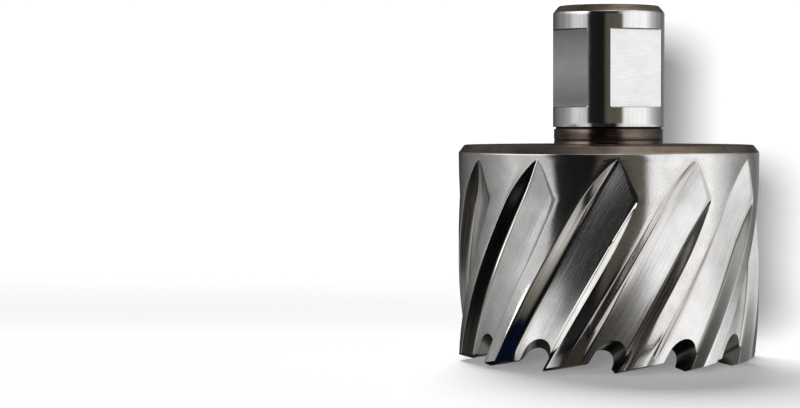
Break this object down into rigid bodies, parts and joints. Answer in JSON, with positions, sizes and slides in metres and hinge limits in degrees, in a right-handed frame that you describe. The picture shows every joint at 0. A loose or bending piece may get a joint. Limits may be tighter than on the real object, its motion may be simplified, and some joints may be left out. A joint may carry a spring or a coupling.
{
  "type": "annular cutter",
  "caption": "Hollow cup-shaped metal cutter with spiral flutes, a toothed rim, a bore for a pilot pin and a flatted round shank.",
  "frame": {"origin": "on the cutter's axis, in the plane of the tooth tips that it stands on", "axes": "+Z along the axis, from the teeth to the shank; -Y towards the side that the picture shows; +X to the right there"},
  "size_m": [0.0514, 0.0514, 0.0604],
  "materials": {
    "ground_steel": "ground high speed steel, with darker unground collars"
  },
  "bodies": {
    "root": {"annular_cutter": "ground_steel"}
  },
  "joints": []
}
